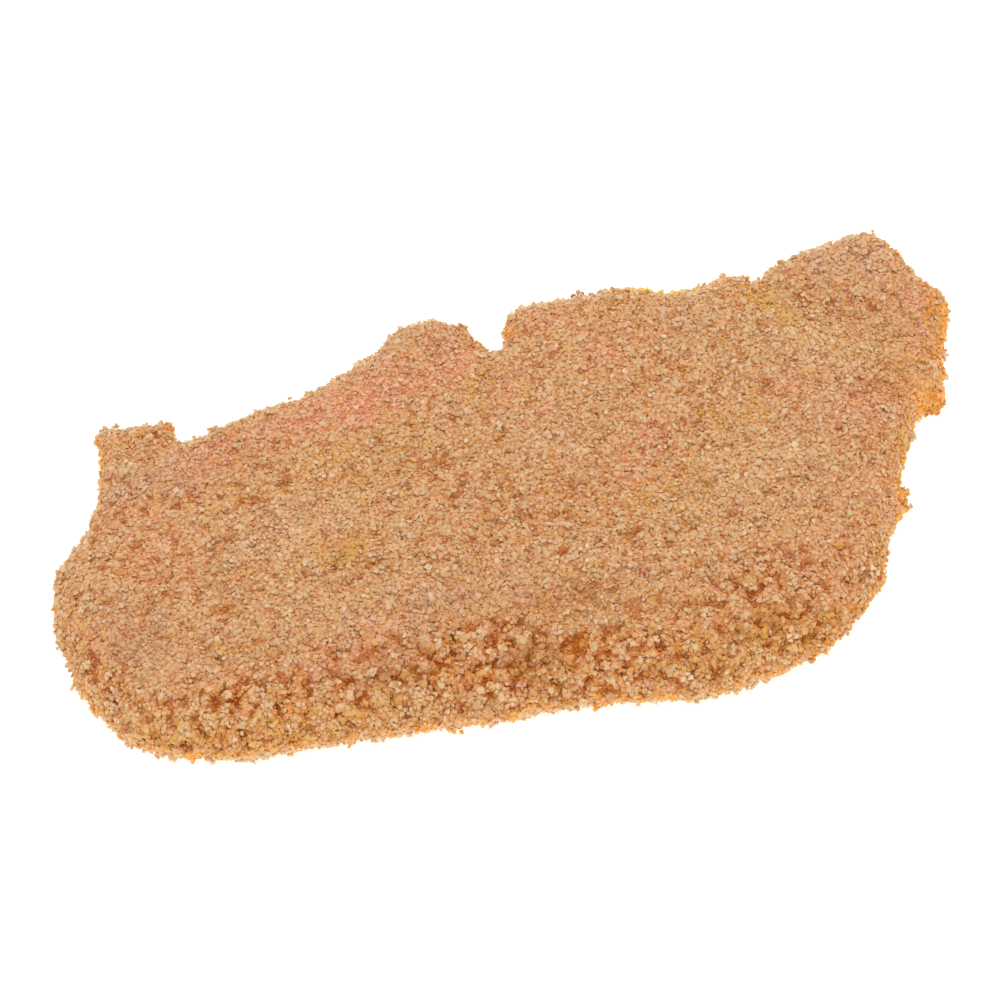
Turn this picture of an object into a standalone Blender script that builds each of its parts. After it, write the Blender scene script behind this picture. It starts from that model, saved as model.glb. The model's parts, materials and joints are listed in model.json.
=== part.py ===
"""A raw breaded schnitzel: one flat cutlet of meat in a coat of fine dry breadcrumbs.

Metres, +Z up. The cutlet lies on its flat underside at z = 0 with its long side along X and its
thick, well rounded front edge towards -Y. The origin is under the middle of its bounding box.
The body is two skins that share the outline: a domed, uneven top and a flat underside.
"""

import math

import bmesh
import bpy
from mathutils import Vector, noise
from mathutils.geometry import delaunay_2d_cdt
from mathutils.kdtree import KDTree

MM = 0.001

# How finely the skins are cut.
OUTLINE_POINTS = 220
TOP_RINGS = [0.2, 0.8, 1.8, 3.2, 5.0, 7.4, 10.4]  # millimetres in from the outline
UNDER_RINGS = [0.3, 1.0, 2.2, 3.8]
GRID = 3.8 * MM  # spacing of the top's points inside the rings

# The body's height.
PLATEAU = 9.6 * MM  # height of the broad middle of the top
WIDEST_AT = 0.36  # share of the local height at which the edge stands out furthest
TOP_ROUNDING = 1.12  # width of the rounded upper edge, as a share of the local height
UNDER_ROUNDING = 3.6 * MM  # width of the tight curve from the edge to the flat underside
THINNEST = 3.4 * MM

# The uneven top, as (x, y, reach along x, reach along y, turn in degrees, rise), all but the turn
# in millimetres. A rise below 0 is a hollow.
SWELLS = {
    "front_ridge_left": (-52, -16, 40, 20, -4, 3.4),
    "front_ridge_right": (18, -27, 34, 20, -12, 2.6),
    "right_shoulder": (56, -16, 20, 22, 40, 1.4),
    "left_end": (-90, 0, 14, 24, 0, 0.8),
    "nub": (-72, 44, 14, 9, 0, -3.0),
    "nub_crease": (-70, 31, 22, 4, 6, -1.3),
    "back_edge": (-24, 42, 34, 12, 8, -2.4),
    "notch_lobe": (18, 43, 22, 12, 0, -1.6),
    "far_corner": (84, 30, 20, 16, -20, -1.0),
    "far_corner_crease": (74, 23, 26, 4.5, -38, -2.2),
    "right_edge": (88, 4, 14, 16, -60, -2.8),
}
RIPPLE = 0.7 * MM  # height of the unnamed lumps between the swells
RIPPLE_LENGTH = 17 * MM

# The outline seen from above, counter-clockwise from the right tip, in millimetres.
OUTLINE = [
    # right tip, and the blunt far corner
    (101, 19), (98, 26), (96, 34), (92, 40.5), (81, 41.5), (70, 40),
    # back edge: a crumbed lip, then the broad lobe beside the notch
    (64.5, 37.5), (60, 41), (54, 40), (46, 41), (37, 46), (29, 47), (20, 49), (14, 48), (11, 44),
    # notch
    (10, 41), (7, 40),
    # tall lobe, and the back edge falling away to the left
    (4, 48.5), (-5, 53), (-17, 48.5), (-30, 44), (-42, 43.5), (-54, 41.5), (-60, 41),
    # square nub
    (-60, 46), (-70, 49), (-76, 48), (-77, 42),
    # left end
    (-80, 34), (-85, 26), (-91, 21), (-96, 12), (-97, -3), (-95, -14), (-90.5, -23.5),
    # thick front edge
    (-82, -29.5), (-70, -34), (-54, -37), (-38, -40), (-21, -43.5), (-5, -46), (8, -50), (21, -53),
    # front right corner, and the thin ragged right edge up to the torn step below the tip
    (34, -52.5), (46.5, -49.5), (57.5, -42.5), (64.5, -33), (70.5, -25.5), (73.5, -18), (79, -12), (83, -6),
    (89, -5), (93, 3), (97, 11),
]


def clear_scene():
    for obj in list(bpy.data.objects):
        bpy.data.objects.remove(obj, do_unlink=True)


def through(before, start, end, after, t):
    """A point on the Catmull-Rom curve from start (t = 0) to end (t = 1)."""
    return 0.5 * (
        2 * start
        + (end - before) * t
        + (2 * before - 5 * start + 4 * end - after) * t**2
        + (3 * start - before - 3 * end + after) * t**3
    )


def even_outline(corners, count):
    """`count` points, evenly spaced round the smooth closed curve through the corners."""
    steps = 12
    corners = [Vector(corner) * MM for corner in corners]
    dense = [
        through(corners[i - 1], corners[i], corners[(i + 1) % len(corners)],
                corners[(i + 2) % len(corners)], step / steps)
        for i in range(len(corners))
        for step in range(steps)
    ]
    dense.append(dense[0])
    travelled = [0.0]
    for here, there in zip(dense, dense[1:]):
        travelled.append(travelled[-1] + (there - here).length)
    points, i = [], 0
    for k in range(count):
        wanted = travelled[-1] * k / count
        while travelled[i + 1] < wanted:
            i += 1
        share = (wanted - travelled[i]) / (travelled[i + 1] - travelled[i])
        points.append(dense[i].lerp(dense[i + 1], share))
    return points


def outline_tree(outline):
    """Finds the distance from a point to the outline, which is filled in between its points."""
    between = 4
    tree = KDTree(len(outline) * between)
    for i, start in enumerate(outline):
        end = outline[(i + 1) % len(outline)]
        for k in range(between):
            tree.insert(start.lerp(end, k / between).to_3d(), i * between + k)
    tree.balance()
    return tree


def depth_inside(spot, to_outline):
    return to_outline.find(spot.to_3d())[2]


def ring_points(outline, depths, to_outline):
    """Points on rings inside the outline, less those that a tight bend brings too near it."""
    points = []
    for i, spot in enumerate(outline):
        tangent = outline[(i + 1) % len(outline)] - outline[i - 1]
        inwards = Vector((-tangent.y, tangent.x)).normalized()
        for depth in depths:
            point = spot + inwards * depth * MM
            if depth_inside(point, to_outline) > 0.93 * depth * MM:
                points.append(point)
    return points


def inside(spot, outline):
    crossings = 0
    for start, end in zip(outline, outline[1:] + outline[:1]):
        if (start.y > spot.y) != (end.y > spot.y):
            share = (spot.y - start.y) / (end.y - start.y)
            crossings += start.x + share * (end.x - start.x) > spot.x
    return crossings % 2 == 1


def grid_points(outline, least_depth, to_outline):
    """A grid of triangles' corners over the part of the plan that is deeper than least_depth."""
    left, right = min(p.x for p in outline), max(p.x for p in outline)
    near, far = min(p.y for p in outline), max(p.y for p in outline)
    row_step = GRID * math.sqrt(3) / 2
    points = []
    for row in range(int((far - near) / row_step)):
        for column in range(int((right - left) / GRID)):
            spot = Vector((left + (column + row % 2 / 2) * GRID, near + row * row_step))
            if inside(spot, outline) and depth_inside(spot, to_outline) > least_depth:
                points.append(spot)
    return points


def local_height(spot):
    """Height of the top above the underside where the edge's rounding doesn't reach."""
    height = PLATEAU
    for centre_x, centre_y, reach_x, reach_y, turn, rise in SWELLS.values():
        away = spot - Vector((centre_x, centre_y)) * MM
        turn = math.radians(turn)
        along = (away.x * math.cos(turn) + away.y * math.sin(turn)) / (reach_x * MM)
        across = (away.y * math.cos(turn) - away.x * math.sin(turn)) / (reach_y * MM)
        height += rise * MM * math.exp(-(along**2 + across**2))
    height += RIPPLE * noise.noise(spot.to_3d() / RIPPLE_LENGTH)
    return max(height, THINNEST)


def quarter_round(share):
    """How far an elliptical edge has risen at this share of its width."""
    return math.sqrt(1 - (1 - min(share, 1.0)) ** 2)


def top_height(spot, depth):
    height = local_height(spot)
    widest = WIDEST_AT * height
    return widest + (height - widest) * quarter_round(depth / (TOP_ROUNDING * height))


def under_height(spot, depth):
    return WIDEST_AT * local_height(spot) * (1 - quarter_round(depth / UNDER_ROUNDING))


def add_skin(shape, rim, inner, height_of, to_outline):
    """Triangles that fill the rim through the inner points, each raised to its height."""
    flat = [vertex.co.to_2d() for vertex in rim] + inner
    rim_edges = [(i, (i + 1) % len(rim)) for i in range(len(rim))]
    placed, _, faces, *_ = delaunay_2d_cdt(flat, rim_edges, [], 1, 1e-7)
    vertices = rim + [
        shape.verts.new((*spot, height_of(spot, depth_inside(spot, to_outline))))
        for spot in placed[len(rim):]
    ]
    for face in faces:
        shape.faces.new([vertices[i] for i in face])


def make_material(name, colour, roughness):
    material = bpy.data.materials.new(name)
    material.use_nodes = True
    shader = material.node_tree.nodes["Principled BSDF"]
    shader.inputs["Base Color"].default_value = (*colour, 1.0)
    shader.inputs["Roughness"].default_value = roughness
    shader.inputs["Metallic"].default_value = 0.0
    material.diffuse_color = (*colour, 1.0)
    return material


def make_cutlet(collection):
    outline = even_outline(OUTLINE, OUTLINE_POINTS)
    to_outline = outline_tree(outline)
    top = ring_points(outline, TOP_RINGS, to_outline)
    top += grid_points(outline, TOP_RINGS[-1] * MM + GRID / 2, to_outline)
    under = ring_points(outline, UNDER_RINGS, to_outline)

    shape = bmesh.new()
    rim = [shape.verts.new((*spot, top_height(spot, 0.0))) for spot in outline]
    add_skin(shape, rim, top, top_height, to_outline)
    add_skin(shape, rim, under, under_height, to_outline)
    bmesh.ops.recalc_face_normals(shape, faces=shape.faces[:])

    left, right = min(p.x for p in outline), max(p.x for p in outline)
    near, far = min(p.y for p in outline), max(p.y for p in outline)
    middle = Vector(((left + right) / 2, (near + far) / 2, 0.0))
    bmesh.ops.translate(shape, vec=-middle, verts=shape.verts[:])

    mesh = bpy.data.meshes.new("cutlet")
    shape.to_mesh(mesh)
    shape.free()
    mesh.shade_smooth()
    mesh.materials.append(make_material("raw_breadcrumb", (0.62, 0.35, 0.16), 0.85))
    cutlet = bpy.data.objects.new("cutlet", mesh)
    collection.objects.link(cutlet)
    return cutlet


def main():
    clear_scene()
    collection = bpy.data.collections.new("schnitzel")
    bpy.context.scene.collection.children.link(collection)
    make_cutlet(collection)


main()
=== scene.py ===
import json
import math

import bmesh
import bpy
import numpy as np
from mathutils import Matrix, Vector, noise

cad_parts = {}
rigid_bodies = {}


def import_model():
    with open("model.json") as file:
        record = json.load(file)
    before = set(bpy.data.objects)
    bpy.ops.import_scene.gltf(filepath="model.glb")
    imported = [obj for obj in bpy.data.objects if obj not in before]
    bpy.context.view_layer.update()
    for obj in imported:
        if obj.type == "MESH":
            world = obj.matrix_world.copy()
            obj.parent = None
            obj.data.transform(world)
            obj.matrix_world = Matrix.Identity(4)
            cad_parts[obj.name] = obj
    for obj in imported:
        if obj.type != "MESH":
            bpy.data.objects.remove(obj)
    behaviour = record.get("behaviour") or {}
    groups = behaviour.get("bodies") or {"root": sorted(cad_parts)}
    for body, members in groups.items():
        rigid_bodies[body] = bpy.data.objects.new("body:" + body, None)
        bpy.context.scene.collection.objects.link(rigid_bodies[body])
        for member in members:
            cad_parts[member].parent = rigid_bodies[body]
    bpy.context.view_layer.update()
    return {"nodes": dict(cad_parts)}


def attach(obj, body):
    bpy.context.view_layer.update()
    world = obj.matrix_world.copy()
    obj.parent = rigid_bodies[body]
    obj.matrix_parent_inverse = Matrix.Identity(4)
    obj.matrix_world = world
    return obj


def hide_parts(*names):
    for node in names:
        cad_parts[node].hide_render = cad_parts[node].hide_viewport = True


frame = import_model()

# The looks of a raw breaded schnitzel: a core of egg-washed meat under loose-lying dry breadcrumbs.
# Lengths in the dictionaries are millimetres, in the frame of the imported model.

mm = 0.001


def linearColour(hexCode, alpha=1.0):
    # an sRGB hex value as the linear colour that a shader takes
    channels = [int(hexCode[i:i + 2], 16) / 255 for i in (1, 3, 5)]
    return (*[c / 12.92 if c <= 0.04045 else ((c + 0.055) / 1.055) ** 2.4 for c in channels], alpha)


def addNode(tree, kind, inputs=None, **settings):
    # one node with its settings; an input given a socket is linked, any other is set
    node = tree.nodes.new(kind)
    for name, value in settings.items():
        setattr(node, name, value)
    for key, value in (inputs or {}).items():
        if isinstance(value, bpy.types.NodeSocket):
            tree.links.new(value, node.inputs[key])
        else:
            node.inputs[key].default_value = value
    return node


def newMaterial(name):
    # an empty material with its output, and the tree to fill
    material = bpy.data.materials.new(name)
    material.use_nodes = True
    tree = material.node_tree
    tree.nodes.clear()
    return material, tree, addNode(tree, "ShaderNodeOutputMaterial")


def linkSurface(tree, output, shader):
    tree.links.new(shader.outputs[0], output.inputs["Surface"])


def setRamp(node, stops):
    # stops: (place, hex) in order
    ramp = node.color_ramp
    while len(ramp.elements) < len(stops):
        ramp.elements.new(0.5)
    for element, (place, hexCode) in zip(ramp.elements, stops):
        element.position = place
        element.color = linearColour(hexCode)


# Soft patches on the coat: (x, y, reach along x, reach along y, turn in degrees, strength).
coatPatches = {
    # thin crumb, with the meat's pink coming through
    "meat": {
        "backLobe": (-25, 35, 12, 7, 8, 0.95),
        "backLobeRight": (-5, 38, 8, 9, 0, 0.55),
        "backLobeLeft": (-42, 35, 9, 4, 4, 0.6),
        "backEdgeLeft": (-57, 36, 5, 4, 0, 0.5),
        "notchLobe": (15, 42, 7, 4, 0, 0.4),
        "nubRoot": (-61, 30, 11, 6, 0, 0.25),
        "leftEndBack": (-84, 24, 7, 4, 20, 0.4),
        "leftEnd": (-75, 15, 8, 8, 0, 0.4),
        "leftFront": (-88, -2, 6, 6, 0, 0.15),
        "frontRidge": (-46, -25, 14, 4, -6, 0.5),
        "underNotch": (5, 24, 8, 6, 0, 0.35),
        "middleBack": (28, 30, 9, 7, 0, 0.45),
        "middle": (21, 2, 8, 6, 0, 0.35),
        "middleSpot": (26, 8, 4, 4, 0, 0.4),
        "rightShoulder": (66, -3, 10, 7, 20, 0.4),
        "rightShoulderBack": (60, 6, 7, 5, 0, 0.3),
        "rightFront": (64, -24, 7, 6, 50, 0.5),
        "frontEnd": (45, -38, 9, 5, 10, 0.4),
        "rightEdge": (89, 14, 4, 10, -20, 0.7),
        "rightEdgeLow": (80, -1, 6, 4, 60, 0.3),
        "farCorner": (80, 32, 12, 7, -20, 0.15),
    },
    # a loose layer of bigger crumbs; the dark gaps between them are egg-soaked crumb and painted shade
    "deep": {
        "leftCorner": (-89, -20, 8, 7, -40, 0.35),
        "cornerFront": (-77, -27, 12, 7, -20, 0.9),
        "nub": (-68, 44, 9, 5, 0, 0.4),
        "frontLeft": (-60, -28, 14, 7, -8, 0.7),
        "leftSide": (-94, -8, 4, 9, 0, 0.6),
        "frontMiddleLeft": (-38, -29, 15, 7, -4, 1.2),
        "frontMiddle": (-16, -36, 15, 7, -14, 1.2),
        "front": (4, -42, 12, 6, -8, 0.9),
        "frontEnd": (28, -47, 16, 6, -2, 1.1),
        "frontEndBack": (30, -36, 12, 5, 0, 0.4),
        "rightFront": (46, -38, 9, 7, 40, 0.5),
        "rightShoulder": (74, 0, 5, 4, 0, 0.5),
        "rightShoulderLow": (70, -9, 6, 4, 0, 0.3),
        "farCrease": (75, 26, 12, 4, -42, 0.2),
        "eggClump": (-40, -2.5, 4, 2, 10, 0.9),
        "nubCrease": (-70, 25, 14, 4, -6, 0.5),
        "leftEnd": (-78, 10, 9, 9, 0, 0.3),
        "nubFront": (-55, 33, 4, 4, 0, 0.3),
        "middle": (0, -4, 9, 6, 0, 0.3),
    },
    # a little egg in the crumb, so that it turns yellow
    "egg": {
        "clump": (-40, 0, 4, 3, 0, 0.5),
        "middleLeft": (-30, 20, 14, 8, 0, 0.35),
        "middle": (-45, 2, 10, 6, 0, 0.3),
        "middleRight": (45, 2, 8, 6, 0, 0.5),
        "middleBack": (0, 30, 6, 5, 0, 0.3),
        "farRidge": (62, 28, 4, 9, 30, 0.7),
        "farRidgeFoot": (70, 14, 10, 6, -30, 0.4),
        "rightEdge": (84, 8, 6, 10, -35, 0.4),
        "rightFront": (76, -12, 3.5, 8, -40, 0.6),
        "frontRight": (60, -35, 4, 7, -40, 0.5),
        "backEdge": (40, 40, 8, 4, 0, 0.5),
        "frontLeft": (-88, -24, 10, 5, -40, 0.5),
        "front": (-62, -33, 22, 3.5, -8, 0.5),
        "frontEnd": (22, -47, 20, 4, 0, 0.6),
        "frontMiddle": (25, -10, 14, 8, 0, 0.3),
    },
    # soaked through with egg: clear amber
    "amber": {
        "clump": (-39.6, 0.2, 2.0, 1.2, 0, 0.4),
        "nubClump": (-63.5, 43.5, 1.5, 1.2, 0, 0.5),
        "rightEdge": (93, 13, 3.0, 10, -20, 0.35),
        "rightCorner": (84.6, -4.8, 1.5, 2.0, 0, 1.0),
        "edgeClump": (71, -23, 3, 2.5, 0, 0.2),
        "backEdge": (44.5, 42, 5, 1.0, -20, 0.4),
        "ridge": (61, 30, 2.0, 8, 25, 0.25),
        "frontRim": (50, -47, 16, 2.5, 25, 0.4),
    },
    # browner crumb, and painted shade in the band along the front edge of the top, where it turns down to the side
    "tan": {
        "frontMiddleLeft": (-42, -28.5, 11, 5, -5, 0.9),
        "frontMiddle": (-15, -37, 8, 4, -10, 0.8),
        "frontRight": (27, -45, 11, 4, 5, 0.7),
        "eggClump": (-40, 0, 3, 2, 0, 0.6),
        "frontLow": (-4, -27, 11, 5, 0, 0.8),
        "leftEndBack": (-84, 24, 7, 6, 0, 0.7),
        "frontLeft": (-75, -27, 14, 5, -20, 0.15),
        "leftEnd": (-86, -5, 9, 10, 0, 0.65),
        "nubCrease": (-66, 29, 12, 5, 0, 0.6),
        "middle": (0, -2, 12, 8, 0, 0.4),
        "middleLow": (-22, -18, 12, 5, 0, 0.5),
        "shoulder": (72, 2, 7, 5, 0, 0.4),
    },
    # paler crumb; this mark also carries painted light on slopes facing back and where the edge turns under
    "pale": {
        "brightFar": (67, 15, 13, 8, -20, 0.35),
        "brightRight": (48, -10, 18, 10, 0, 0.25),
        "leftUpper": (-52, 10, 18, 8, 0, 0.3),
        "leftCorner": (-86, -17, 9, 7, 0, 0.3),
    },
    # dusted with the finest, palest crumb
    "dusty": {
        "nubRoot": (-68, 31, 14, 7, 0, 0.9),
        "leftEnd": (-86, -2, 9, 12, 0, 0.6),
        "frontLeft": (-42, -17, 20, 6, -8, 0.4),
        "frontMiddle": (-18, -18, 12, 8, 0, 0.4),
        "farCorner": (82, 34, 11, 8, -20, 0.9),
        "rightShoulder": (67, -5, 9, 5, 0, 0.5),
        "backEdge": (-18, 45, 22, 4, 12, 0.6),
        "underNotch": (6, 14, 8, 7, 0, 0.5),
        "middleBack": (44, 32, 6, 6, 0, 0.5),
        "leftUpper": (-55, 10, 9, 6, 0, 0.3),
    },
}
coatMottle = {
    "blotchLength": 14.0,  # of the blotches that break up the patches
    "blotchShare": 0.5,  # of a patch's strength that the blotches take away or add
    "heapLength": 3.3,  # from one small heap of crumbs to the next
    "speckLength": 3.6,  # from one soaked or bare speck to the next
    "speckShare": {"meat": 0.4, "egg": 0.4, "amber": 0.25, "dusty": 0.3},
    "underShare": 0.25,  # of the top's finishes that shows on the underside
}
rimGlowPainting = {
    "height": 7.5,  # painted glow of light coming through the crumb edge and up from the bright floor: it runs from the underside up to here
    "fade": 4.8,
    "steepest": 0.75,  # upward part of the normal below which the side counts as rim
    "places": {  # thin edges painted with the glow of light shining through them
        "backEdge": (44.5, 42, 7, 2.4, -20, 1.0),
        "notchLobe": (11.5, 43.5, 2.2, 5, 0, 0.35),
        "rightEdge": (94, 12, 2.8, 12, -20, 0.6),
        "rightCorner": (84, -4, 5, 5, 0, 0.8),
        "rightFront": (70, -28, 4, 12, -30, 0.7),
        "lobeEdge": (-2, 52, 8, 2, 0, 0.5),
        "farEdge": (84, 42, 12, 2, 0, 0.4),
    },
    "paintedBackLight": 0.9,  # painted light: how much paler the crumb is painted on slopes that face back, towards the key light
    "paintedFloorLight": 1.0,  # painted light from the bright floor: how much paler the crumb is painted where the edge turns under
}


def patchStrength(places, patches):
    total = np.zeros(len(places))
    for x, y, reachX, reachY, turn, strength in patches.values():
        away = places[:, :2] / mm - (x, y)
        turn = math.radians(turn)
        along = (away[:, 0] * math.cos(turn) + away[:, 1] * math.sin(turn)) / reachX
        across = (away[:, 1] * math.cos(turn) - away[:, 0] * math.sin(turn)) / reachY
        total += strength * np.exp(-(along**2 + across**2))
    return total


def noiseAt(places, length, seed, octaves=1):
    # values from about -1 to 1; length is from one lump to the next, in millimetres
    offset = Vector((seed * 7.31, seed * 3.17, seed * 5.71))
    scaled = places / (length * mm) * 1.7
    if octaves == 1:
        return np.array([noise.noise(Vector(p) + offset) for p in scaled])
    return np.array([noise.fractal(Vector(p) + offset, 1.0, 2.0, octaves) for p in scaled])


def smoothStep(low, high, values):
    t = np.clip((values - low) / (high - low), 0, 1)
    return t * t * (3 - 2 * t)


def storeFloats(mesh, name, values):
    attribute = mesh.attributes.new(name, "FLOAT", "POINT")
    attribute.data.foreach_set("value", np.ascontiguousarray(values, np.float32))


def coordinates(mesh):
    places = np.empty(len(mesh.vertices) * 3, np.float32)
    mesh.vertices.foreach_get("co", places)
    return places.reshape(-1, 3).astype(np.float64)


def vertexNormals(mesh):
    normals = np.empty(len(mesh.vertices) * 3, np.float32)
    mesh.vertex_normals.foreach_get("vector", normals)
    return normals.reshape(-1, 3).astype(np.float64)


def setCoordinates(mesh, places):
    mesh.vertices.foreach_set("co", np.ascontiguousarray(places, np.float32).ravel())
    mesh.update()


def plainMesh(holder, name):
    # the evaluated object as a plain mesh of its own, with its attributes
    graph = bpy.context.evaluated_depsgraph_get()
    mesh = bpy.data.meshes.new_from_object(
        holder.evaluated_get(graph), preserve_all_data_layers=True, depsgraph=graph)
    mesh.name = name
    return mesh


def linkedObject(name, mesh):
    piece = bpy.data.objects.new(name, mesh)
    bpy.context.scene.collection.objects.link(piece)
    return piece


core = {
    "voxel": 0.64,
    "inset": 0.55,  # the crumbs stand out this far again
    "sideInset": 0.35,  # and this much more on the sides
    "lumpLength": 12.0,
    "lumpHeight": 0.35,
    "heapHeight": 1.0,
    "edgeLength": 5.5,  # the ragged edge
    "edgeHeight": 0.9,
    "gritLength": 2.0,
    "gritHeight": 0.15,
    "lowest": 0.25,  # the underside's gap to the floor, filled by crumbs
}


def makeCore():
    # egg-washed meat a crumb's depth below the outer surface, lumpy where the crumbs lie in heaps
    mesh = frame["nodes"]["cutlet"].data.copy()
    shape = bmesh.new()
    shape.from_mesh(mesh)
    bmesh.ops.remove_doubles(shape, verts=shape.verts[:], dist=0.002 * mm)
    shape.to_mesh(mesh)
    shape.free()
    mesh.materials.clear()
    holder = linkedObject("crust", mesh)
    remesh = holder.modifiers.new("even mesh", "REMESH")
    remesh.mode = "VOXEL"
    remesh.voxel_size = core["voxel"] * mm
    even = plainMesh(holder, "crust")
    holder.modifiers.remove(remesh)
    holder.data = even

    places, normals = coordinates(even), vertexNormals(even)
    marks = coatMarks(places, normals)
    rise = core["lumpHeight"] * noiseAt(places, core["lumpLength"], 1)
    rise += core["heapHeight"] * marks.pop("heap")
    steep = 1 - smoothStep(0.3, 0.9, np.abs(normals[:, 2]))
    rise += core["edgeHeight"] * steep * noiseAt(places, core["edgeLength"], 9, octaves=3)
    rise += core["gritHeight"] * noiseAt(places, core["gritLength"], 2, octaves=2)
    rise *= smoothStep(0.3, 2.5, places[:, 2] / mm)  # the underside stays flat
    rise -= core["inset"] + core["sideInset"] * steep
    places += normals * (rise * mm)[:, None]
    places[:, 2] = np.maximum(places[:, 2], core["lowest"] * mm)
    setCoordinates(even, places)
    even.shade_smooth()
    for name, values in marks.items():
        storeFloats(even, name, values)
    return holder


def coatMarks(places, normals):
    # how much of each finish shows at each point, where light and shade are painted, and where each kind of crumb lies
    blotches = 1 + coatMottle["blotchShare"] * noiseAt(places, coatMottle["blotchLength"], 3, octaves=2)
    blotches *= 1 + coatMottle["blotchShare"] * noiseAt(places, coatMottle["blotchLength"] / 3, 4, octaves=2)
    upwardPart = normals[:, 2]
    marks = {}
    for seed, (finish, patches) in enumerate(coatPatches.items(), start=5):
        marks[finish] = patchStrength(places, patches) * blotches
        if finish in coatMottle["speckShare"]:
            specks = noiseAt(places, coatMottle["speckLength"], seed, octaves=2)
            marks[finish] += coatMottle["speckShare"][finish] * smoothStep(0.1, 0.5, specks)
        marks[finish] = np.clip(marks[finish], 0, 1)
    top = smoothStep(-0.3, 0.3, upwardPart)
    looseness = 0.45 + 0.55 * marks["deep"]
    heaps = noiseAt(places, coatMottle["heapLength"], 12, octaves=2)
    marks["heap"] = looseness * np.clip(1.6 * heaps, -1, 1)
    # the pits between heaps, where the core lies lower: egg-soaked crumb and painted shade, darker and more orange
    marks["soak"] = np.clip(looseness * smoothStep(0.0, -0.3, heaps) + 0.1 * marks["deep"], 0, 1)

    low = 1 - smoothStep(rimGlowPainting["height"] - rimGlowPainting["fade"], rimGlowPainting["height"], places[:, 2] / mm)
    side = 1 - smoothStep(rimGlowPainting["steepest"] - 0.3, rimGlowPainting["steepest"] + 0.2, np.abs(upwardPart))
    turned = side * smoothStep(0.25, -0.15, upwardPart)
    # painted light: the pale mark is raised where the edge turns under, lit by the floor, and on slopes facing back
    # towards the key light
    marks["pale"] = np.clip(marks["pale"] + rimGlowPainting["paintedFloorLight"] * turned
                            + rimGlowPainting["paintedBackLight"] * smoothStep(0.25, 0.7, normals[:, 1]), 0, 1)
    shining = patchStrength(places, rimGlowPainting["places"])
    # painted glow: low sides and thin edges lit through the crumb and from the floor
    marks["gold"] = np.clip(low * side * (0.3 + 0.7 * blotches) + shining, 0, 1)
    marks["peak"] = (0.2 + 0.8 * marks["deep"]) * smoothStep(0.0, 0.45, heaps)
    onHeaps = smoothStep(-0.25, 0.1, heaps + 0.35 * (1 - marks["deep"]))
    thick = 1 - 0.4 * marks["meat"]
    marks["coverBed"] = top
    marks["coverSmall"] = top * (0.3 + 0.7 * onHeaps) * thick
    marks["coverMedium"] = top * onHeaps * (0.6 + 0.4 * marks["deep"]) * thick
    marks["coverBig"] = top * onHeaps * (0.3 + 0.7 * marks["deep"]) * thick
    marks["coverLoose"] = top * 0.8
    marks["coverUnder"] = 1 - smoothStep(-0.8, -0.3, upwardPart)
    marks["coverRim"] = 1 - smoothStep(0.6, 0.9, np.abs(upwardPart))
    # the patches belong to the top; little of them shows on the underside
    facingUp = coatMottle["underShare"] + (1 - coatMottle["underShare"]) * smoothStep(-0.8, -0.4, upwardPart)
    for finish in ("meat", "deep", "egg", "amber", "tan", "dusty", "soak", "gold"):
        marks[finish] *= facingUp
    return marks


# ---- breadcrumbs: one tree scatters every kind ----

crumbKinds = {
    # name: cover mark, spacing and sizes in mm, lift off the core as a share of the size; how thick
    # a crumb lies for its width; the shapes drawn for it, the lumps in each, the corners of a lump
    "bedCrumbs": {
        "cover": "coverBed", "spacing": 0.78, "smallest": 0.8, "largest": 1.3, "lift": 0.08,
        "thickness": 0.55, "shapes": 12, "lumps": 1, "corners": 6, "seed": 23,
    },
    "tanCrumbs": {
        "cover": "coverSmall", "spacing": 0.92, "smallest": 1.0, "largest": 1.6, "lift": 0.04,
        "thickness": 0.5, "shapes": 16, "lumps": 1, "corners": 10, "seed": 29,
    },
    "paleCrumbs": {
        "cover": "coverSmall", "spacing": 0.92, "smallest": 1.0, "largest": 1.7, "lift": 0.08,
        "thickness": 0.5, "shapes": 16, "lumps": 1, "corners": 10, "seed": 37,
    },
    "creamCrumbs": {
        "cover": "coverMedium", "spacing": 1.3, "smallest": 1.2, "largest": 2.0, "lift": 0.16,
        "thickness": 0.75, "shapes": 16, "lumps": 2, "corners": 10, "seed": 47,
    },
    "clusters": {
        "cover": "coverBig", "spacing": 2.2, "smallest": 1.6, "largest": 2.6, "lift": 0.26,
        "thickness": 0.8, "shapes": 16, "lumps": 6, "corners": 6, "seed": 41,
    },
    "dustCrumbs": {
        "cover": "coverLoose", "spacing": 0.85, "smallest": 0.4, "largest": 0.8, "lift": 0.7,
        "thickness": 0.7, "shapes": 12, "lumps": 1, "corners": 6, "seed": 59,
    },
    "rimCrumbs": {
        "cover": "coverRim", "spacing": 0.90, "smallest": 0.7, "largest": 1.3, "lift": 0.25,
        "thickness": 0.9, "shapes": 16, "lumps": 1, "corners": 8, "seed": 67,
    },
    "rimClusters": {
        "cover": "coverRim", "spacing": 2.2, "smallest": 1.3, "largest": 2.2, "lift": 0.2,
        "thickness": 0.8, "shapes": 12, "lumps": 4, "corners": 8, "seed": 79,
    },
    "undersideCrumbs": {
        "cover": "coverUnder", "spacing": 0.96, "smallest": 0.7, "largest": 1.2, "lift": 0.2,
        "thickness": 0.8, "shapes": 12, "lumps": 1, "corners": 6, "seed": 71,
    },
}


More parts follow.
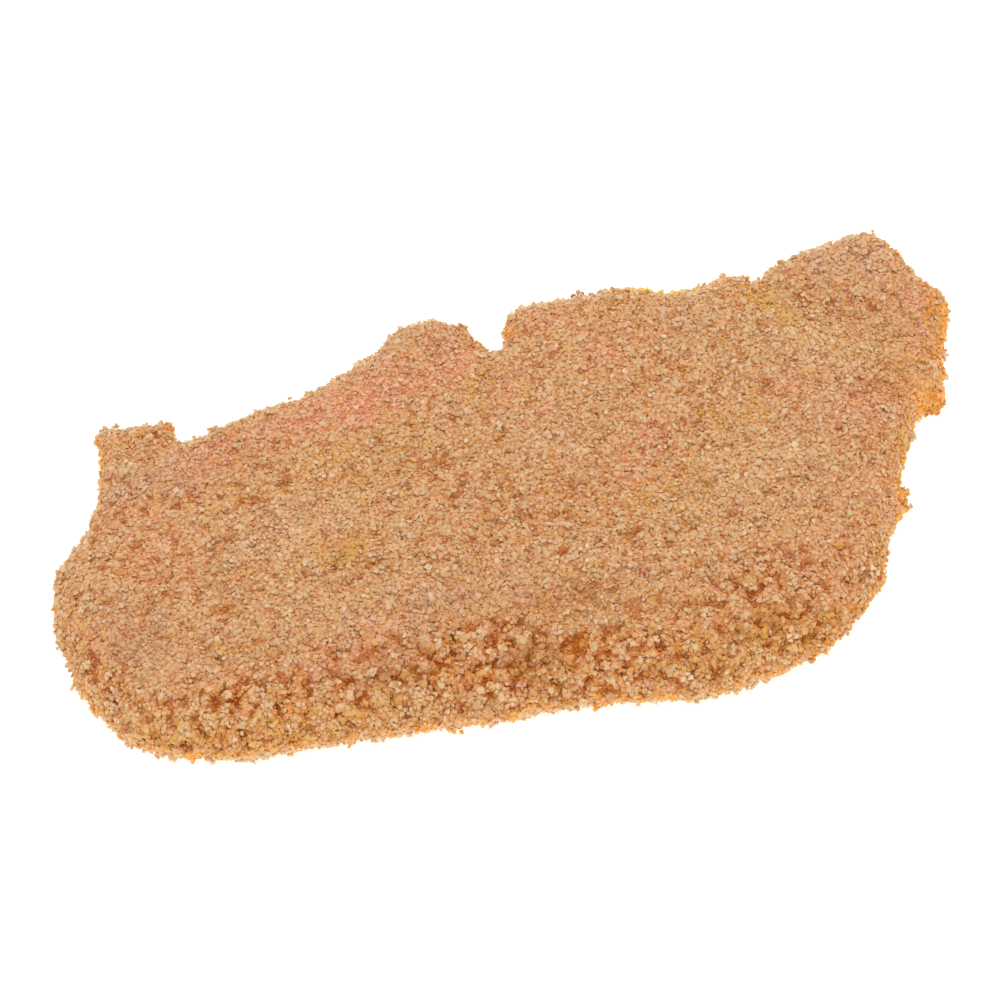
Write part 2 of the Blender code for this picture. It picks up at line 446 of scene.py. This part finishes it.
def addLump(shape, draw, middle, radius, corners, values):
    # one faceted lump about the middle, its corners spread out but uneven; returns its corners
    directions = []
    while len(directions) < corners:
        # the loneliest of a few tries
        tries = [Vector(draw.normal(size=3)).normalized() for _ in range(5)]
        directions.append(min(tries, key=lambda t: max([t.dot(other) for other in directions], default=0)))
    made = [shape.verts.new(middle + direction * radius * draw.uniform(0.85, 1.12)) for direction in directions]
    crown = shape.verts.layers.float["crown"]
    for corner, direction in zip(made, directions):
        corner[crown] = direction.z
        for layer, value in values.items():
            corner[layer] = value
    bmesh.ops.convex_hull(shape, input=made)
    bmesh.ops.delete(shape, geom=[v for v in made if v.is_valid and not v.link_faces], context="VERTS")


def grainShapes(name, kind):
    # irregular crumbs about 1 across, of one lump or several grown together
    draw = np.random.default_rng(kind["seed"])
    collection = bpy.data.collections.new(name + "Shapes")
    for index in range(kind["shapes"]):
        shape = bmesh.new()
        shift = shape.verts.layers.float.new("toneShift")
        shape.verts.layers.float.new("crown")
        for lump in range(kind["lumps"]):
            if kind["lumps"] == 1:
                addLump(shape, draw, Vector((0, 0, 0)), 0.5, kind["corners"], {shift: 0.0})
            else:
                middle = Vector(draw.uniform(-1, 1, 3)) * 0.30
                addLump(shape, draw, middle, draw.uniform(0.20, 0.34), kind["corners"],
                        {shift: draw.uniform(-0.2, 0.2)})
        bmesh.ops.recalc_face_normals(shape, faces=shape.faces[:])
        mesh = bpy.data.meshes.new(f"{name}Shape{index}")
        shape.to_mesh(mesh)
        shape.free()
        collection.objects.link(bpy.data.objects.new(mesh.name, mesh))
    return collection


def crumbTree():
    # points on the crust, one crumb on each, flattened where it meets the floor
    tree = bpy.data.node_groups.new("breadcrumbs", "GeometryNodeTree")
    sockets = (
        ("Crust", "NodeSocketGeometry"), ("Cover", "NodeSocketString"),
        ("Shapes", "NodeSocketCollection"), ("Spacing", "NodeSocketFloat"),
        ("Smallest", "NodeSocketFloat"), ("Largest", "NodeSocketFloat"),
        ("Lift", "NodeSocketFloat"), ("Thickness", "NodeSocketFloat"), ("Seed", "NodeSocketInt"), ("Finish", "NodeSocketMaterial"),
    )
    for name, kind in sockets:
        tree.interface.new_socket(name, in_out="INPUT", socket_type=kind)
    tree.interface.new_socket("Crumbs", in_out="OUTPUT", socket_type="NodeSocketGeometry")
    given = addNode(tree, "NodeGroupInput").outputs

    cover = addNode(tree, "GeometryNodeInputNamedAttribute", {"Name": given["Cover"]}, data_type="FLOAT")
    points = addNode(tree, "GeometryNodeDistributePointsOnFaces", {
        "Mesh": given["Crust"], "Distance Min": given["Spacing"], "Density Max": 4e6,
        "Density Factor": cover.outputs["Attribute"], "Seed": given["Seed"],
    }, distribute_method="POISSON")

    # small ones are more common, as in sieved crumbs
    chance = addNode(tree, "FunctionNodeRandomValue", {2: 0.0, 3: 1.0, "Seed": given["Seed"]},
                     data_type="FLOAT")
    skewed = addNode(tree, "ShaderNodeMath", {0: chance.outputs[1], 1: 1.5}, operation="POWER")
    size = addNode(tree, "ShaderNodeMapRange", {
        "Value": skewed.outputs[0], "To Min": given["Smallest"], "To Max": given["Largest"]})
    otherSeed = addNode(tree, "ShaderNodeMath", {0: given["Seed"], 1: 500.0}, operation="ADD")
    tone = addNode(tree, "FunctionNodeRandomValue", {2: 0.0, 3: 1.0, "Seed": otherSeed.outputs[0]},
                   data_type="FLOAT")
    toned = addNode(tree, "GeometryNodeStoreNamedAttribute", {
        "Geometry": points.outputs["Points"], "Name": "tone", "Value": tone.outputs[1]},
        data_type="FLOAT", domain="POINT")
    luckSeed = addNode(tree, "ShaderNodeMath", {0: given["Seed"], 1: 900.0}, operation="ADD")
    luck = addNode(tree, "FunctionNodeRandomValue", {2: 0.0, 3: 1.0, "Seed": luckSeed.outputs[0]},
                   data_type="FLOAT")
    lucky = addNode(tree, "GeometryNodeStoreNamedAttribute", {
        "Geometry": toned.outputs[0], "Name": "luck", "Value": luck.outputs[1]},
        data_type="FLOAT", domain="POINT")
    place = addNode(tree, "GeometryNodeInputPosition")
    rooted = addNode(tree, "GeometryNodeStoreNamedAttribute", {
        "Geometry": lucky.outputs[0], "Name": "root", "Value": place.outputs[0]},
        data_type="FLOAT_VECTOR", domain="POINT")
    aimed = addNode(tree, "GeometryNodeStoreNamedAttribute", {
        "Geometry": rooted.outputs[0], "Name": "rootNormal", "Value": points.outputs["Normal"]},
        data_type="FLOAT_VECTOR", domain="POINT")
    liftBy = addNode(tree, "ShaderNodeMath", {0: size.outputs[0], 1: given["Lift"]}, operation="MULTIPLY")
    outward = addNode(tree, "ShaderNodeVectorMath", {
        0: points.outputs["Normal"], "Scale": liftBy.outputs[0]}, operation="SCALE")

    grains = addNode(tree, "GeometryNodeCollectionInfo", {
        "Collection": given["Shapes"], "Separate Children": True, "Reset Children": True})
    pick = addNode(tree, "FunctionNodeRandomValue", {4: 0, 5: 1000, "Seed": given["Seed"]}, data_type="INT")
    # each lies flat on the crust, turned any way and tilted a little
    tilt = addNode(tree, "FunctionNodeRandomValue", {
        0: (-0.4, -0.4, 0), 1: (0.4, 0.4, math.tau), "Seed": given["Seed"]},
        data_type="FLOAT_VECTOR")
    tilted = addNode(tree, "FunctionNodeEulerToRotation", {0: tilt.outputs[0]})
    turn = addNode(tree, "FunctionNodeRotateRotation", {
        "Rotation": points.outputs["Rotation"], "Rotate By": tilted.outputs[0]},
        rotation_space="LOCAL")
    least = addNode(tree, "ShaderNodeCombineXYZ", {0: 0.75, 1: 0.75})
    most = addNode(tree, "ShaderNodeCombineXYZ", {0: 1.3, 1: 1.3})
    thin = addNode(tree, "ShaderNodeMath", {0: given["Thickness"], 1: 0.8}, operation="MULTIPLY")
    thick = addNode(tree, "ShaderNodeMath", {0: given["Thickness"], 1: 1.2}, operation="MULTIPLY")
    tree.links.new(thin.outputs[0], least.inputs[2])
    tree.links.new(thick.outputs[0], most.inputs[2])
    stretch = addNode(tree, "FunctionNodeRandomValue", {
        0: least.outputs[0], 1: most.outputs[0], "Seed": otherSeed.outputs[0]},
        data_type="FLOAT_VECTOR")
    scale = addNode(tree, "ShaderNodeVectorMath", {0: stretch.outputs[0], "Scale": size.outputs[0]},
                    operation="SCALE")
    crumbs = addNode(tree, "GeometryNodeInstanceOnPoints", {
        "Points": aimed.outputs[0], "Instance": grains.outputs[0], "Pick Instance": True,
        "Instance Index": pick.outputs[2], "Rotation": turn.outputs[0], "Scale": scale.outputs[0]})
    lifted = addNode(tree, "GeometryNodeTranslateInstances", {
        "Instances": crumbs.outputs[0], "Translation": outward.outputs[0], "Local Space": False})
    real = addNode(tree, "GeometryNodeRealizeInstances", {"Geometry": lifted.outputs[0]})

    # how far each corner stands off the core, in millimetres
    root = addNode(tree, "GeometryNodeInputNamedAttribute", {"Name": "root"}, data_type="FLOAT_VECTOR")
    rootNormal = addNode(tree, "GeometryNodeInputNamedAttribute", {"Name": "rootNormal"},
                         data_type="FLOAT_VECTOR")
    away = addNode(tree, "ShaderNodeVectorMath", {0: place.outputs[0], 1: root.outputs["Attribute"]},
                   operation="SUBTRACT")
    off = addNode(tree, "ShaderNodeVectorMath", {0: away.outputs[0], 1: rootNormal.outputs["Attribute"]},
                  operation="DOT_PRODUCT")
    offMm = addNode(tree, "ShaderNodeMath", {0: off.outputs["Value"], 1: 1 / mm}, operation="MULTIPLY")
    standing = addNode(tree, "GeometryNodeStoreNamedAttribute", {
        "Geometry": real.outputs[0], "Name": "standing", "Value": offMm.outputs[0]},
        data_type="FLOAT", domain="POINT")

    parts = addNode(tree, "ShaderNodeSeparateXYZ", {0: place.outputs[0]})
    # crumbs pressed against the floor end at slightly different heights
    toneHere = addNode(tree, "GeometryNodeInputNamedAttribute", {"Name": "tone"}, data_type="FLOAT")
    lowest = addNode(tree, "ShaderNodeMapRange", {
        "Value": toneHere.outputs["Attribute"], "To Min": 0.02 * mm, "To Max": 0.14 * mm})
    above = addNode(tree, "ShaderNodeMath", {0: parts.outputs[2], 1: lowest.outputs[0]}, operation="MAXIMUM")
    kept = addNode(tree, "ShaderNodeCombineXYZ", {
        0: parts.outputs[0], 1: parts.outputs[1], 2: above.outputs[0]})
    pressed = addNode(tree, "GeometryNodeSetPosition", {
        "Geometry": standing.outputs[0], "Position": kept.outputs[0]})
    finished = addNode(tree, "GeometryNodeSetMaterial", {
        "Geometry": pressed.outputs[0], "Material": given["Finish"]})
    addNode(tree, "NodeGroupOutput", {0: finished.outputs[0]})
    return tree


def scatterCrumbs(name, kind, tree, crust, finish):
    shapes = grainShapes(name, kind)
    modifier = crust.modifiers.new(name, "NODES")
    modifier.node_group = tree
    values = {
        "Cover": kind["cover"], "Shapes": shapes, "Spacing": kind["spacing"] * mm,
        "Smallest": kind["smallest"] * mm, "Largest": kind["largest"] * mm, "Lift": kind["lift"],
        "Thickness": kind["thickness"], "Seed": kind["seed"], "Finish": finish,
    }
    for socket in tree.interface.items_tree:
        if socket.in_out == "INPUT" and socket.name in values:
            modifier[socket.identifier] = values[socket.name]
    mesh = plainMesh(crust, name)
    crust.modifiers.remove(modifier)
    for grain in list(shapes.objects):
        bpy.data.meshes.remove(grain.data)  # and its object with it
    bpy.data.collections.remove(shapes)
    for attribute in [attribute.name for attribute in mesh.attributes]:
        if attribute.startswith(("cover", "root")):
            mesh.attributes.remove(mesh.attributes[attribute])
    print(name, len(mesh.polygons), "faces")
    return linkedObject(name, mesh)


clumps = {
    # crumbs stuck together: where (x, y, z; a high z finds the top), reach along x, y and z, how many
    # of what size, how high they are heaped, and the strength of the finishes on them; the rim and back-edge glows are
    # painted light, and the tan finish is partly painted shade
    "eggClump": {"at": (-39.6, 0.2, 30), "reach": (2.0, 0.8, 0.4), "crumbs": 18, "size": 1.2, "heap": 0.6, "egg": 1.0, "tan": 1.0},
    "middleBit": {"at": (7, 23, 30), "reach": (1.0, 0.8, 0.3), "crumbs": 6, "size": 1.2, "heap": 0.4, "egg": 1.0},
    "leftBit": {"at": (-62, 6, 30), "reach": (1.2, 0.8, 0.3), "crumbs": 7, "size": 1.2, "heap": 0.4, "egg": 1.0},
    "edgeClump": {"at": (71.5, -22.5, 3), "reach": (0.8, 1.2, 0.8), "crumbs": 24, "size": 1.4, "heap": 1.8, "egg": 0.8},
    "edgeClumpRoot": {"at": (69.5, -25, 3), "reach": (1.2, 1.8, 0.8), "crumbs": 22, "size": 1.4, "heap": 0.9, "gold": 0.9},
    "stepCorner": {"at": (84.6, -5.5, 2.5), "reach": (1.0, 1.4, 0.7), "crumbs": 18, "size": 1.2, "heap": 0.5, "amber": 1.0},
    "nubCorner": {"at": (-64, 47.5, 3), "reach": (1.4, 0.8, 0.8), "crumbs": 18, "size": 1.3, "heap": 0.9, "egg": 0.7},
    "nubTip": {"at": (-74, 48, 3), "reach": (1.4, 0.8, 0.8), "crumbs": 22, "size": 1.4, "heap": 1.0, "dusty": 0.5},
    # painted glow of light through the thin back edge
    "backStrip": {"at": (41, 43.0, 6), "reach": (2.4, 0.4, 0.6), "crumbs": 60, "size": 1.2, "heap": 0.5, "shine": 1.0},
    "backStripEnd": {"at": (46.5, 40.5, 6), "reach": (2.2, 0.4, 0.6), "crumbs": 50, "size": 1.2, "heap": 0.5, "shine": 0.9},
    "backBump": {"at": (27, 46, 4), "reach": (0.8, 0.6, 0.7), "crumbs": 12, "size": 1.3, "heap": 1.2, "tan": 0.8},
    "lipClump": {"at": (60, 40.5, 4), "reach": (2.0, 0.8, 0.8), "crumbs": 26, "size": 1.4, "heap": 1.0, "gold": 0.7},
    "frontCrumb": {"at": (-33, -42, 2.5), "reach": (0.5, 0.4, 0.4), "crumbs": 5, "size": 1.3, "heap": 0.8, "gold": 0.8},
    "frontCrumbs": {"at": (-5, -46, 2.5), "reach": (2.0, 0.5, 0.6), "crumbs": 10, "size": 1.3, "heap": 0.6, "gold": 0.8},
    "leftCrumbs": {"at": (-98, -2, 3), "reach": (0.6, 1.0, 0.6), "crumbs": 8, "size": 1.3, "heap": 0.8, "dusty": 0.4},
    "leftCrumb": {"at": (-97, 11, 3), "reach": (0.4, 0.4, 0.4), "crumbs": 3, "size": 1.1, "heap": 0.6, "toasted": 0.6},
    "tipCrumb": {"at": (99, 14, 3), "reach": (0.4, 0.4, 0.4), "crumbs": 3, "size": 1.1, "heap": 0.6, "toasted": 0.7},
}


def makeClumps(crust):
    draw = np.random.default_rng(83)
    shape = bmesh.new()
    # the rim and back-edge glows among these are painted light, and the tan finish is partly painted shade
    finishes = ("amber", "egg", "gold", "dusty", "tan", "toasted", "shine")
    layers = {name: shape.verts.layers.float.new(name)
              for name in ("crown", "tone", "luck", "standing", *finishes)}
    for clump in clumps.values():
        found, middle, outward, face = crust.closest_point_on_mesh(Vector(clump["at"]) * mm)
        for _ in range(clump["crumbs"]):
            away = Vector(draw.normal(size=3) * clump["reach"]) * mm
            found, foot, outward, face = crust.closest_point_on_mesh(middle + away)
            size = clump["size"] * draw.uniform(0.7, 1.1) * mm
            centre = foot + outward * (size * 0.4 + clump["heap"] * draw.uniform(0, 1) ** 2 * mm)
            centre.z = max(centre.z, 0.6 * size)
            values = {layers[name]: clump.get(name, 0.0) for name in finishes}
            values[layers["tone"]] = draw.uniform(0.0, 1.0)
            values[layers["luck"]] = draw.uniform(0.0, 1.0)
            values[layers["standing"]] = 1.0
            addLump(shape, draw, centre, size / 2, 8, values)
    bmesh.ops.recalc_face_normals(shape, faces=shape.faces[:])
    mesh = bpy.data.meshes.new("clumps")
    shape.to_mesh(mesh)
    shape.free()
    print("clumps", len(mesh.polygons), "faces")
    return linkedObject("clumps", mesh)


coatColours = {
    "ground": "#DC8A30",  # crumb and egg between the grains
    # ground in the pits: egg-soaked and painted shade
    "soakAndPaintedPitShadeGround": "#BC5C0C",
    "meat": "#F09C74",
    "crumbDark": "#D6AC7A",
    "crumbMid": "#E1BD90",
    "crumbPale": "#E6C69C",
    "crumbWhite": "#ECD1A8",
    "peakTint": "#ECCCA0",
    # painted shade: colours for each crumb's foot and downward facets, warm like crevice light, orange in the deep
    # layer and pinker over the meat
    "foot": "#E6A86E",
    "deepFootShade": "#EE962C",
    "meatFootShade": "#EE9E74",
    "soakAndPaintedPitShadeTint": "#C86C1C",
    "meatTint": "#F2B492",
    "tanAndPaintedShadeTint": "#C6874A",
    "paleAndPaintedLightTint": "#F2D4AC",
    "eggTint": "#E6B464",
    "amberTint": "#E8A248",
    "dustyTint": "#E4BEA0",
    "paintedRimGlowTint": "#FFBE66",
    "toastedTint": "#8E5C30",
    "paintedBackGlowTint": "#FFDC84",
}
crumbTints = {
    # mark on the coat: (colour of the crumb where the mark is full, share of it)
    "peak": ("peakTint", 0.8),
    # pits: egg-soaked crumb and painted shade
    "soak": ("soakAndPaintedPitShadeTint", 0.8),
    # browner crumb, and painted shade along the front edge
    "tan": ("tanAndPaintedShadeTint", 0.75),
    "dusty": ("dustyTint", 0.5),
    "meat": ("meatTint", 0.5),
    "egg": ("eggTint", 0.7),
    # painted glow of light through the rim
    "gold": ("paintedRimGlowTint", 0.85),
    # paler crumb, and painted light on back slopes and the turned-under edge
    "pale": ("paleAndPaintedLightTint", 0.9),
    "amber": ("amberTint", 0.8),
    "toasted": ("toastedTint", 0.85),
    # painted glow of light through the thin back edge
    "shine": ("paintedBackGlowTint", 0.9),
}


def tintBy(tree, colour, mark, tint, most, luck=None):
    # mixes the tint in where the mark on the coat is strong; with luck, crumb by crumb
    amount = addNode(tree, "ShaderNodeAttribute", attribute_name=mark).outputs["Fac"]
    if luck:
        over = addNode(tree, "ShaderNodeMath", {0: amount, 1: 1.25}, operation="MULTIPLY")
        amount = addNode(tree, "ShaderNodeMath", {0: over.outputs[0], 1: luck}, operation="SUBTRACT")
        share = addNode(tree, "ShaderNodeMapRange", {
            "Value": amount.outputs[0], "From Min": -0.05, "From Max": 0.3, "To Min": 0.0, "To Max": most})
    else:
        share = addNode(tree, "ShaderNodeMath", {0: amount, 1: most}, operation="MULTIPLY")
    mixed = addNode(tree, "ShaderNodeMix", {
        0: share.outputs[0], 6: colour, 7: linearColour(coatColours[tint])}, data_type="RGBA")
    return mixed.outputs[2]


def eggWashedMeat():
    # raw meat under beaten egg and packed fine crumb: tan cells with orange-brown between them,
    # pink where the coat is thin; painted shade in the pits, painted glow at the rim and painted light on slopes facing
    # back
    material, tree, output = newMaterial("egg-washed meat, crumbed")
    place = addNode(tree, "ShaderNodeTexCoord").outputs["Object"]
    cells = addNode(tree, "ShaderNodeTexVoronoi", {"Vector": place, "Scale": 1 / (0.75 * mm)})
    cellTone = addNode(tree, "ShaderNodeSeparateColor", {0: cells.outputs["Color"]})
    cellColour = addNode(tree, "ShaderNodeMix", {
        0: cellTone.outputs[0], 6: linearColour(coatColours["crumbDark"]),
        7: linearColour(coatColours["crumbMid"])}, data_type="RGBA")
    cellShare = addNode(tree, "ShaderNodeMapRange", {
        "Value": cells.outputs["Distance"], "From Min": 0.4, "From Max": 0.7,
        "To Min": 0.9, "To Max": 0.0})
    packed = addNode(tree, "ShaderNodeMix", {
        0: cellShare.outputs[0], 6: linearColour(coatColours["ground"]), 7: cellColour.outputs[2]},
        data_type="RGBA")
    # pits: egg-soaked and painted shade on the core
    colour = tintBy(tree, packed.outputs[2], "soak", "soakAndPaintedPitShadeGround", 0.9)
    colour = tintBy(tree, colour, "meat", "meat", 0.9)
    # painted glow of the rim on the core
    colour = tintBy(tree, colour, "gold", "paintedRimGlowTint", 0.8)
    colour = tintBy(tree, colour, "amber", "amberTint", 0.8)
    # paler crumb, and painted light on back slopes and the turned-under edge
    colour = tintBy(tree, colour, "pale", "paleAndPaintedLightTint", 0.7)
    hollow = addNode(tree, "ShaderNodeMath", {0: 1.0, 1: cells.outputs["Distance"]}, operation="SUBTRACT")
    bump = addNode(tree, "ShaderNodeBump", {
        "Strength": 0.7, "Distance": 0.25 * mm, "Height": hollow.outputs[0]})
    linkSurface(tree, output, addNode(tree, "ShaderNodeBsdfPrincipled", {
        "Base Color": colour, "Roughness": 0.6, "IOR": 1.4, "Specular IOR Level": 0.25,
        "Normal": bump.outputs[0]}))
    return material


def dryCrumb():
    # dried white bread, crushed: matte, each grain its own shade of cream to tan
    material, tree, output = newMaterial("dry breadcrumb")
    tone = addNode(tree, "ShaderNodeAttribute", attribute_name="tone")
    shift = addNode(tree, "ShaderNodeAttribute", attribute_name="toneShift")
    shifted = addNode(tree, "ShaderNodeMath", {0: tone.outputs["Fac"], 1: shift.outputs["Fac"]})
    ramp = addNode(tree, "ShaderNodeValToRGB", {0: shifted.outputs[0]})
    setRamp(ramp, [(0.0, coatColours["crumbDark"]), (0.3, coatColours["crumbMid"]),
                   (0.75, coatColours["crumbPale"]), (1.0, coatColours["crumbWhite"])])
    # painted shade: each crumb is painted warmer and darker from its foot, where it meets the core, up to 0.5 mm above
    # it (1 mm in the deep layer), standing in for the warm shade of the crevice
    standing = addNode(tree, "ShaderNodeAttribute", attribute_name="standing")
    deep = addNode(tree, "ShaderNodeAttribute", attribute_name="deep")
    paintedFootShadeTop = addNode(tree, "ShaderNodeMath", {0: deep.outputs["Fac"], 1: 0.5, 2: 0.5}, operation="MULTIPLY_ADD")
    foot = addNode(tree, "ShaderNodeMapRange", {
        "Value": standing.outputs["Fac"], "From Min": 0.1, "From Max": paintedFootShadeTop.outputs[0],
        "To Min": 0.9, "To Max": 0.0})
    # painted shade on each crumb's downward facets
    crown = addNode(tree, "ShaderNodeAttribute", attribute_name="crown")
    paintedUnderShade = addNode(tree, "ShaderNodeMapRange", {
        "Value": crown.outputs["Fac"], "From Min": -0.5, "From Max": 0.5, "To Min": 0.9, "To Max": 0.0})
    paintedShadeShare = addNode(tree, "ShaderNodeMath", {0: foot.outputs[0], 1: paintedUnderShade.outputs[0]}, operation="MAXIMUM")
    meat = addNode(tree, "ShaderNodeAttribute", attribute_name="meat")
    footShadeByDepth = addNode(tree, "ShaderNodeMix", {
        0: deep.outputs["Fac"], 6: linearColour(coatColours["foot"]),
        7: linearColour(coatColours["deepFootShade"])}, data_type="RGBA")
    footShadeColour = addNode(tree, "ShaderNodeMix", {
        0: meat.outputs["Fac"], 6: footShadeByDepth.outputs[2],
        7: linearColour(coatColours["meatFootShade"])}, data_type="RGBA")
    footShaded = addNode(tree, "ShaderNodeMix", {
        0: paintedShadeShare.outputs[0], 6: ramp.outputs[0], 7: footShadeColour.outputs[2]}, data_type="RGBA")
    colour = footShaded.outputs[2]
    luck = addNode(tree, "ShaderNodeAttribute", attribute_name="luck").outputs["Fac"]
    for mark, (tint, most) in crumbTints.items():
        colour = tintBy(tree, colour, mark, tint, most, luck)
    place = addNode(tree, "ShaderNodeTexCoord").outputs["Object"]
    pores = addNode(tree, "ShaderNodeTexNoise", {"Vector": place, "Scale": 1 / (0.7 * mm), "Detail": 1.0})
    shade = addNode(tree, "ShaderNodeMapRange", {
        "Value": pores.outputs["Fac"], "From Min": 0.3, "From Max": 0.7, "To Min": 0.92, "To Max": 1.06})
    mottled = addNode(tree, "ShaderNodeVectorMath", {0: colour, "Scale": shade.outputs[0]}, operation="SCALE")
    colour = mottled.outputs[0]
    linkSurface(tree, output, addNode(tree, "ShaderNodeBsdfPrincipled", {
        "Base Color": colour, "Roughness": 0.85, "IOR": 1.45, "Specular IOR Level": 0.15}))
    return material


# ---- studio ----

studio = {
    "azimuth": -20.8, "elevation": 55.7, "distance": 0.72, "lens": 129.6,
    "lookAt": (-0.0066, 0.0042, 0.005),
    "floorSide": 8.0, "floorGlow": 0.6, "worldGlow": 0.865,
    "keySide": 0.9, "keyHeight": 1.1, "keyBehind": 0.35, "keyPower": 2.5,
}


def makeStudio():
    scene = bpy.context.scene
    scene.view_settings.view_transform = "Standard"
    azimuth, elevation = math.radians(studio["azimuth"]), math.radians(studio["elevation"])
    back = Vector((math.sin(azimuth) * math.cos(elevation), -math.cos(azimuth) * math.cos(elevation),
                   math.sin(elevation)))
    camera = bpy.data.objects.new("camera", bpy.data.cameras.new("camera"))
    camera.data.lens = studio["lens"]
    camera.data.sensor_width = 36.0
    camera.data.clip_start = 0.01
    camera.location = Vector(studio["lookAt"]) + back * studio["distance"]
    camera.rotation_euler = (-back).to_track_quat("-Z", "Y").to_euler()
    scene.collection.objects.link(camera)
    scene.camera = camera

    shape = bmesh.new()
    bmesh.ops.create_grid(shape, x_segments=1, y_segments=1, size=studio["floorSide"] / 2)
    floorMesh = bpy.data.meshes.new("floor")
    shape.to_mesh(floorMesh)
    shape.free()
    material, tree, output = newMaterial("white studio board")
    linkSurface(tree, output, addNode(tree, "ShaderNodeBsdfPrincipled", {
        "Base Color": linearColour("#F2F2F0"), "Roughness": 0.9,
        "Emission Color": linearColour("#FFFFFF"), "Emission Strength": studio["floorGlow"]}))
    floorMesh.materials.append(material)
    linkedObject("floor", floorMesh)

    world = bpy.data.worlds.new("studio")
    world.use_nodes = True
    world.node_tree.nodes["Background"].inputs["Color"].default_value = linearColour("#FFFFFF")
    world.node_tree.nodes["Background"].inputs["Strength"].default_value = studio["worldGlow"]
    scene.world = world

    key = bpy.data.lights.new("key", "AREA")
    key.size = studio["keySide"]
    key.energy = studio["keyPower"]
    keyObject = bpy.data.objects.new("key", key)
    away = Vector((-back.x, -back.y, 0)).normalized() * studio["keyBehind"]
    keyObject.location = away + Vector((0, 0, studio["keyHeight"]))
    keyObject.rotation_euler = (-keyObject.location).to_track_quat("-Z", "Y").to_euler()
    scene.collection.objects.link(keyObject)


# ---- build ----

makeStudio()
print("studio ready")
crust = makeCore()
print("core:", len(crust.data.polygons), "faces")
tree = crumbTree()
crumbFinish = dryCrumb()
pieces = [scatterCrumbs(name, kind, tree, crust, crumbFinish) for name, kind in crumbKinds.items()]
pieces.append(makeClumps(crust))
pieces[-1].data.materials.append(crumbFinish)
crust.data.materials.append(eggWashedMeat())
for piece in pieces:
    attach(piece, "root")
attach(crust, "root")
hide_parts("cutlet")
print("crumbs on:", sum(len(piece.data.polygons) for piece in pieces), "faces")
